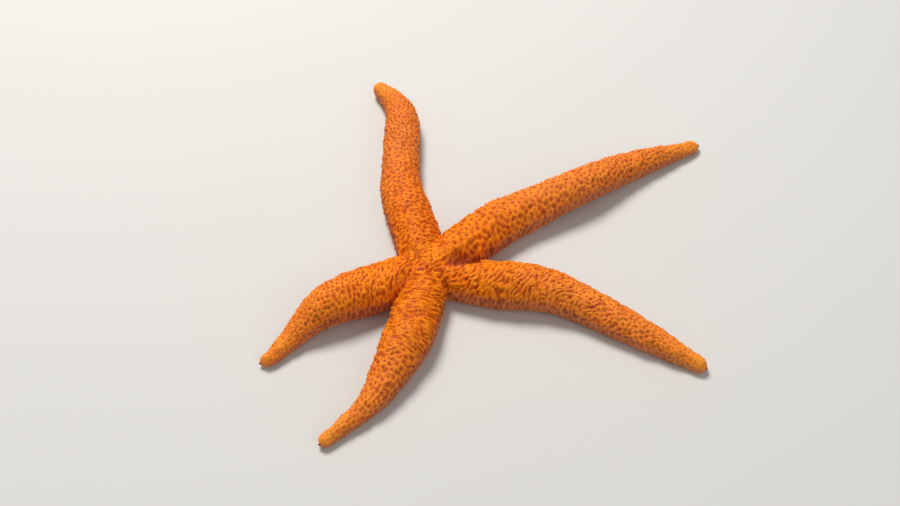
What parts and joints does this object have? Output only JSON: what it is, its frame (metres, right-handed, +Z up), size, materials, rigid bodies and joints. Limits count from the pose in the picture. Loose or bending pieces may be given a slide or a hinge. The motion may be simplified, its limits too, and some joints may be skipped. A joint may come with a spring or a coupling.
{
  "type": "red sea star model",
  "caption": "Life-size still model of a red sea star: a small disc and slender round tapering arms spread on the floor, with furrows and a mouth underneath.",
  "frame": {"origin": "on the floor, under the middle of the outline box of the five arms", "axes": "+Z up from the floor; +Y along the longest extent, towards the tip of arm_back; +X to the right of someone who looks along +Y, towards the tip of arm_back_right"},
  "size_m": [0.1542, 0.1604, 0.0141],
  "materials": {
    "skin": "matt, wet, a raised orange mesh with dark red pits",
    "mouth": "soft, moist, pale orange",
    "madreporite": "matt sieve plate of calcite with fine winding grooves",
    "eyespot": "small glossy red bead"
  },
  "bodies": {
    "root": {"disc": "skin", "mouth": "mouth", "madreporite": "madreporite", "arm_back_root": "skin", "arm_back_middle": "skin", "arm_back_tip": "skin", "arm_back_eyespot": "eyespot", "arm_back_right_root": "skin", "arm_back_right_middle": "skin", "arm_back_right_tip": "skin", "arm_back_right_eyespot": "eyespot", "arm_front_right_root": "skin", "arm_front_right_middle": "skin", "arm_front_right_tip": "skin", "arm_front_right_eyespot": "eyespot", "arm_front_root": "skin", "arm_front_middle": "skin", "arm_front_tip": "skin", "arm_front_eyespot": "eyespot", "arm_left_root": "skin", "arm_left_middle": "skin", "arm_left_tip": "skin", "arm_left_eyespot": "eyespot"}
  },
  "joints": []
}
